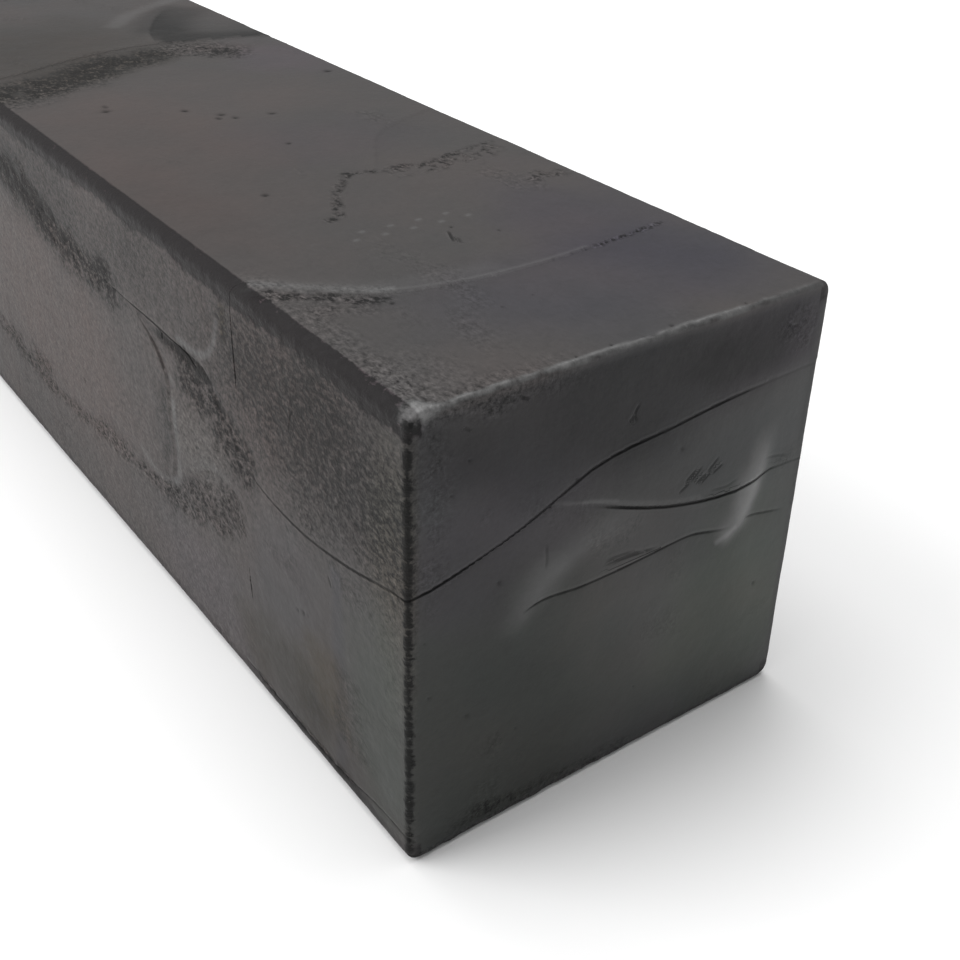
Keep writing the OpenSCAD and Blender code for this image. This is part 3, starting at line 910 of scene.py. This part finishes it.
def score(mesh, border, skin, sizes):
    """Presses the piece's skin in along its border with the neighbouring lumps."""
    points = read_points(mesh)
    border = np.flatnonzero(border)
    tree = KDTree(len(border))
    for n, index in enumerate(border):
        tree.insert(points[index], n)
    tree.balance()
    skin = np.flatnonzero(skin)
    away = np.array([tree.find(points[index])[2] for index in skin])
    close = away < LINE_REACH
    skin, away = skin[close], away[close]
    strength = seam_strength(points[skin])
    line = np.exp(-(away * MM / sizes.score_width) ** 2) * strength
    way = outward(points[skin], sizes.long_edge / MM, sizes.end_edge / MM)
    points[skin] -= way * (sizes.score / MM * line)[:, None]
    write_points(mesh, points)
    # the line's distance and strength, which the finish darkens as painted shade in the groove
    edge, mark = read_field(mesh, "edge"), read_field(mesh, "mark")
    nearer = (away < abs(edge[skin])) & (strength > 0.01)
    strength = strength * smoothstep(0.6 * LINE_REACH, 0.4 * LINE_REACH, away)
    edge[skin[nearer]] = away[nearer]
    mark[skin[nearer]] = strength[nearer]
    write_field(mesh, "edge", edge)
    write_field(mesh, "mark", mark)


def smooth_border(mesh, corners, skin_corners, border):
    """Lets the skin's shading run on across the cuts that don't show."""
    plain = border & (seam_strength(read_points(mesh) / MM) < HIDDEN)
    chosen = skin_corners & plain[corners]
    normals = np.zeros((len(corners), 3), dtype=np.float32)
    for axis, name in enumerate(NORMALS):
        normals[chosen, axis] = read_field(mesh, name)[corners[chosen]]
        mesh.attributes.remove(mesh.attributes[name])
    mesh.normals_split_custom_set(normals)


def cut_lump(context, node, slot):
    """Cuts one lump from the block, and puts it in its CAD solid's place."""
    sizes = context.scene.stick_sizes
    block = bpy.data.objects[BLOCK]
    cutter = cutter_of(node)
    piece = block.copy()
    piece.data = block.data.copy()
    piece.name = piece.data.name = node + "_lump"
    context.scene.collection.objects.link(piece)
    only(piece)
    cut = piece.modifiers.new("cut", "BOOLEAN")
    cut.operation = "INTERSECT"
    cut.solver = "MANIFOLD"
    cut.material_mode = "TRANSFER"
    cut.object = cutter
    bpy.ops.object.modifier_apply(modifier=cut.name)
    bpy.data.objects.remove(cutter)
    if not len(piece.data.polygons):
        raise RuntimeError(f"nothing is left of {node} after its cut")
    corners, skin_corners, skin, wall = sides(piece.data)
    border = skin & wall
    mend_border(piece.data, border, skin & ~wall)
    score(piece.data, border, skin, sizes)
    piece.data.transform(Matrix.Scale(MM, 4))
    only(piece)
    bpy.ops.object.shade_smooth_by_angle(angle=SHARP)
    smooth_border(piece.data, corners, skin_corners, border)
    piece.data.materials[0] = finish_named(slot)
    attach(piece, "root")
    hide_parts(node)
    return piece


class LumpStep:
    """What the steps that cut lumps share. Each names its lumps and their slots."""
    lumps = {}

    def execute(self, context):
        for node, slot in self.lumps.items():
            cut_lump(context, node, slot)
        return {"FINISHED"}


class CHARCOAL_OT_front(LumpStep, bpy.types.Operator):
    """Cut the three lumps of the front end: upper fold, wedge and base"""
    bl_idname = "charcoal.front"
    bl_label = "Front end lumps"
    lumps = {"front_upper_fold": "folded_charcoal", "front_wedge_fold": "folded_charcoal",
             "front_base": "pressed_charcoal"}


class CHARCOAL_OT_middle(LumpStep, bpy.types.Operator):
    """Cut the lumps of the middle: upper fold, flank and base"""
    bl_idname = "charcoal.middle"
    bl_label = "Middle lumps"
    lumps = {"middle_upper_fold": "folded_charcoal", "middle_flank": "flank_charcoal",
             "middle_base": "pressed_charcoal"}


class CHARCOAL_OT_leaf(LumpStep, bpy.types.Operator):
    """Cut the thin leaf that lies in the left flank"""
    bl_idname = "charcoal.leaf"
    bl_label = "Side leaf"
    lumps = {"side_leaf": "flank_charcoal"}


class CHARCOAL_OT_rear(LumpStep, bpy.types.Operator):
    """Cut the two lumps of the rear end"""
    bl_idname = "charcoal.rear"
    bl_label = "Rear end lumps"
    lumps = {"rear_upper_fold": "folded_charcoal", "rear_base": "pressed_charcoal"}


# ---------------------------------------------------------------- finishes

class Value:
    """A number that varies over the surface, with the usual arithmetic."""

    def __init__(self, net, socket):
        self.net, self.socket = net, socket

    def math(self, operation, first, second):
        return self.net.value("ShaderNodeMath", {"operation": operation}, {0: first, 1: second})

    def __add__(self, other):
        return self.math("ADD", self, other)

    __radd__ = __add__

    def __sub__(self, other):
        return self.math("SUBTRACT", self, other)

    def __rsub__(self, other):
        return self.math("SUBTRACT", other, self)

    def __mul__(self, other):
        return self.math("MULTIPLY", self, other)

    __rmul__ = __mul__

    def clamped(self, low, high):
        return self.math("MINIMUM", self.math("MAXIMUM", self, low), high)

    def size(self):
        return self.math("ABSOLUTE", self, 0)

    def step(self, low, high):
        """0 below low and 1 above high, smooth between them."""
        return self.net.value("ShaderNodeMapRange", {"interpolation_type": "SMOOTHSTEP"},
                              {"Value": self, "From Min": low, "From Max": high})


class Net:
    """The nodes of one material."""

    def __init__(self, name):
        self.material = bpy.data.materials.new(name)
        self.material.use_nodes = True
        self.tree = self.material.node_tree
        self.tree.nodes.clear()

    def node(self, kind, settings, inputs):
        made = self.tree.nodes.new(kind)
        for name, setting in settings.items():
            setattr(made, name, setting)
        for name, given in inputs.items():
            if isinstance(given, Value):
                given = given.socket
            if isinstance(given, bpy.types.NodeSocket):
                self.tree.links.new(given, made.inputs[name])
            else:
                made.inputs[name].default_value = given
        return made

    def value(self, kind, settings, inputs, output=0):
        return Value(self, self.node(kind, settings, inputs).outputs[output])

    def field(self, name):
        return self.value("ShaderNodeAttribute", {"attribute_name": name}, {}, "Fac")

    def grain(self, where, per_mm, detail=2.0, roughness=0.5):
        return self.value("ShaderNodeTexNoise", {}, {
            "Vector": where, "Scale": per_mm, "Detail": detail, "Roughness": roughness})

    def tinted(self, plain, tints):
        """The plain colour, moved towards each tint by its own share."""
        colour = Vector(plain)
        for tint, share in tints:
            shift = self.node("ShaderNodeVectorMath", {"operation": "SCALE"},
                              {0: Vector(tint) - Vector(plain), "Scale": share}).outputs[0]
            colour = self.node("ShaderNodeVectorMath", {"operation": "ADD"},
                               {0: shift, 1: colour}).outputs[0]
        return colour

    def mix(self, factor, first, second):
        return self.node("ShaderNodeMix", {"data_type": "RGBA"},
                         {0: factor, 6: first, 7: second}).outputs[2]


def charcoal(name, tone, crumbly):
    """Pressed charcoal: satin, lighter and a little glossier under dust and painted highlights, grainy
    and dull where it is torn.
    """
    colours = bpy.context.scene.stick_colours
    net = Net(name)
    place = net.node("ShaderNodeTexCoord", {}, {}).outputs["Object"]
    where = net.node("ShaderNodeVectorMath", {"operation": "SCALE"},
                     {0: place, "Scale": 1 / MM}).outputs[0]
    crevice_shade, rough, dust = net.field("crevice_shade"), net.field("rough"), net.field("dust")
    edge, mark = net.field("edge"), net.field("mark")
    rough = (rough + crumbly).clamped(0, 1)
    # the grain is drawn out along the stick, the way it was pressed
    drawn = net.node("ShaderNodeVectorMath", {"operation": "MULTIPLY"},
                     {0: where, 1: (1, 0.62, 1)}).outputs[0]
    clouds = net.grain(where, 0.16, 2.0, 0.55)
    mottle = net.grain(where, 0.9, 3.0, 0.6)
    fine = net.grain(drawn, 5.0, 2.0, 0.7)
    coarse = net.grain(drawn, 2.6, 3.0, 0.7)
    specks = net.grain(drawn, 6.5, 1.0).step(0.6, 0.74)

    # crisp lines: a groove darkened with painted shade, with a painted highlight along the rim of the
    # upper fold beside it
    groove = mark * (1 - edge.size().step(0.02, 0.105))
    rim = mark * edge.step(0.05, 0.1) * (1 - edge.step(0.12, 0.22))

    warm = (net.field("warm") + (clouds - 0.5) * 1.2).clamped(-0.5, 1.5)
    # dust and painted highlights make the colour lighter and take its tints away
    bare = 1 - dust.clamped(0, 1) * 0.9
    colour = net.tinted(colours.plain, (
        (colours.warm, warm * bare), (colours.plum, net.field("plum") * bare),
        (colours.rust, net.field("rust") * bare)))
    level = (
        tone
        + net.field("shade") * 1.1
        + (clouds - 0.5) * 0.2
        + (mottle - 0.5) * 0.25
        + (fine - 0.5) * (rough * 5.0 + 0.3)
        + (coarse - 0.5) * (rough * 2.2 + 0.15)
        + specks * (rough * 0.6 + 0.04)
        + rim * 0.25
        + dust * 0.75
    )
    # painted shade in pits and in the grooves of crisp lines
    dark = (crevice_shade + groove).clamped(-3, 1)
    level = level.clamped(0.1, 4) * (1 - dark * 0.85)
    colour = net.node("ShaderNodeVectorMath", {"operation": "SCALE"},
                      {0: colour, "Scale": level}).outputs[0]

    dull = (
        colours.roughness
        + rough * 0.28
        + (mottle - 0.5) * 0.22
        + (fine - 0.5) * 0.15
        + dark * 0.3
        - dust * 0.05
    ).clamped(0.25, 0.95)
    relief = (
        fine * (rough * 1.6 + 0.15)
        + coarse * (rough * 2.4 + 0.15)
        + mottle * 0.8
        - groove * 1.2
        + mark * edge.step(-0.08, 0.08) * (1 - edge.step(0.1, 0.4)) * 0.5
    )
    bump = net.node("ShaderNodeBump", {}, {
        "Height": relief, "Strength": 1.0, "Distance": 0.035 * MM}).outputs[0]
    shader = net.node("ShaderNodeBsdfPrincipled", {}, {
        "Base Color": colour, "Roughness": dull, "Normal": bump,
        "Specular IOR Level": colours.gloss}).outputs[0]
    net.node("ShaderNodeOutputMaterial", {}, {"Surface": shader})
    return net.material


# Each finish: how light it is, and how crumbly
FINISHES = {
    "pressed_charcoal": (0.95, 0.0),
    "folded_charcoal": (0.95, 0.0),
    "flank_charcoal": (0.95, 0.0),
    "broken_charcoal": (0.6, 0.9),
}


def finish_named(name):
    """The finish for that slot of the record, made once."""
    made = name + "_finish"
    return bpy.data.materials.get(made) or charcoal(made, *FINISHES[name])


# ---------------------------------------------------------------- the stage

def pale(name, colour, roughness):
    net = Net(name)
    place = net.node("ShaderNodeTexCoord", {}, {}).outputs["Object"]
    haze = net.grain(place, 9.0, 3.0)
    tone = net.mix(haze, (*colour, 1), (*[c * 0.98 for c in colour], 1))
    shader = net.node("ShaderNodeBsdfPrincipled", {}, {
        "Base Color": tone, "Roughness": roughness, "Specular IOR Level": 0.2}).outputs[0]
    net.node("ShaderNodeOutputMaterial", {}, {"Surface": shader})
    return net.material


def add_light(name, place, size, power, towards=(0, 0, 0.01)):
    light = bpy.data.lights.new(name, "AREA")
    light.shape = "SQUARE"
    light.size = size
    light.energy = power
    lamp = bpy.data.objects.new(name, light)
    lamp.location = place
    lamp.rotation_mode = "QUATERNION"
    lamp.rotation_quaternion = (Vector(towards) - Vector(place)).to_track_quat("-Z", "Y")
    bpy.context.scene.collection.objects.link(lamp)


def add_camera(stage):
    """The camera stands off the near top corner, and slides and rolls in its own plane."""
    a, e = stage.azimuth, stage.elevation
    back = Vector((math.sin(a) * math.cos(e), -math.cos(a) * math.cos(e), math.sin(e)))
    right = Vector((0, 0, 1)).cross(back).normalized()
    up = back.cross(right)
    corner = Vector((cad_low.x, cad_low.y, cad_high.z))
    width = WIDTH * MM
    place = corner + width * (stage.distance * back + stage.slide[0] * right + stage.slide[1] * up)
    c, s = math.cos(stage.roll), math.sin(stage.roll)
    turned = Matrix((c * right + s * up, c * up - s * right, back)).transposed()
    data = bpy.data.cameras.new("camera")
    data.sensor_width = 36
    data.lens = stage.lens
    data.shift_x, data.shift_y = stage.shift
    data.clip_start = 0.001
    camera = bpy.data.objects.new("camera", data)
    camera.matrix_world = Matrix.Translation(place) @ turned.to_4x4()
    bpy.context.scene.collection.objects.link(camera)
    bpy.context.scene.camera = camera


class CHARCOAL_OT_stage(bpy.types.Operator):
    """Add the pale floor, the soft lights and the camera"""
    bl_idname = "charcoal.stage"
    bl_label = "Stage"

    def execute(self, context):
        stage = context.scene.stick_stage
        bpy.ops.mesh.primitive_plane_add(size=FLOOR_SIZE, location=FLOOR_PLACE)
        floor = context.object
        floor.name = "floor"
        floor.data.materials.append(pale("floor_white", FLOOR_COLOUR, FLOOR_ROUGHNESS))
        world = bpy.data.worlds.new("studio")
        world.use_nodes = True
        world.node_tree.nodes["Background"].inputs["Color"].default_value = (1, 1, 1, 1)
        world.node_tree.nodes["Background"].inputs["Strength"].default_value = stage.sky
        context.scene.world = world
        for light in LIGHTS:
            add_light(*light)
        context.scene.view_settings.view_transform = "Standard"
        add_camera(stage)
        return {"FINISHED"}


class CHARCOAL_PT_panel(bpy.types.Panel):
    """Lists the steps in their order"""
    bl_idname = "CHARCOAL_PT_panel"
    bl_label = "Charcoal Stick"
    bl_space_type = "VIEW_3D"
    bl_region_type = "UI"
    bl_category = "Charcoal"

    def draw(self, context):
        for step in STEPS:
            self.layout.operator(step.bl_idname)
        for group in (context.scene.stick_sizes, context.scene.stick_colours,
                      context.scene.stick_stage):
            for name in group.bl_rna.properties.keys():
                if name not in ("rna_type", "name"):
                    self.layout.prop(group, name)


GROUPS = {"stick_sizes": StickSizes, "stick_colours": StickColours, "stick_stage": StickStage}
STEPS = (CHARCOAL_OT_block, CHARCOAL_OT_front, CHARCOAL_OT_middle, CHARCOAL_OT_leaf,
         CHARCOAL_OT_rear, CHARCOAL_OT_stage)


def register():
    for kind in (*GROUPS.values(), *STEPS, CHARCOAL_PT_panel):
        bpy.utils.register_class(kind)
    for name, kind in GROUPS.items():
        setattr(bpy.types.Scene, name, bpy.props.PointerProperty(type=kind))


def unregister():
    for name in GROUPS:
        delattr(bpy.types.Scene, name)
    for kind in (CHARCOAL_PT_panel, *reversed(STEPS), *reversed(GROUPS.values())):
        bpy.utils.unregister_class(kind)


def main():
    register()
    bpy.ops.charcoal.block()
    bpy.ops.charcoal.front()
    bpy.ops.charcoal.middle()
    bpy.ops.charcoal.leaf()
    bpy.ops.charcoal.rear()
    bpy.data.objects.remove(bpy.data.objects[BLOCK])
    bpy.ops.charcoal.stage()
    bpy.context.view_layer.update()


if __name__ == "__main__":
    main()
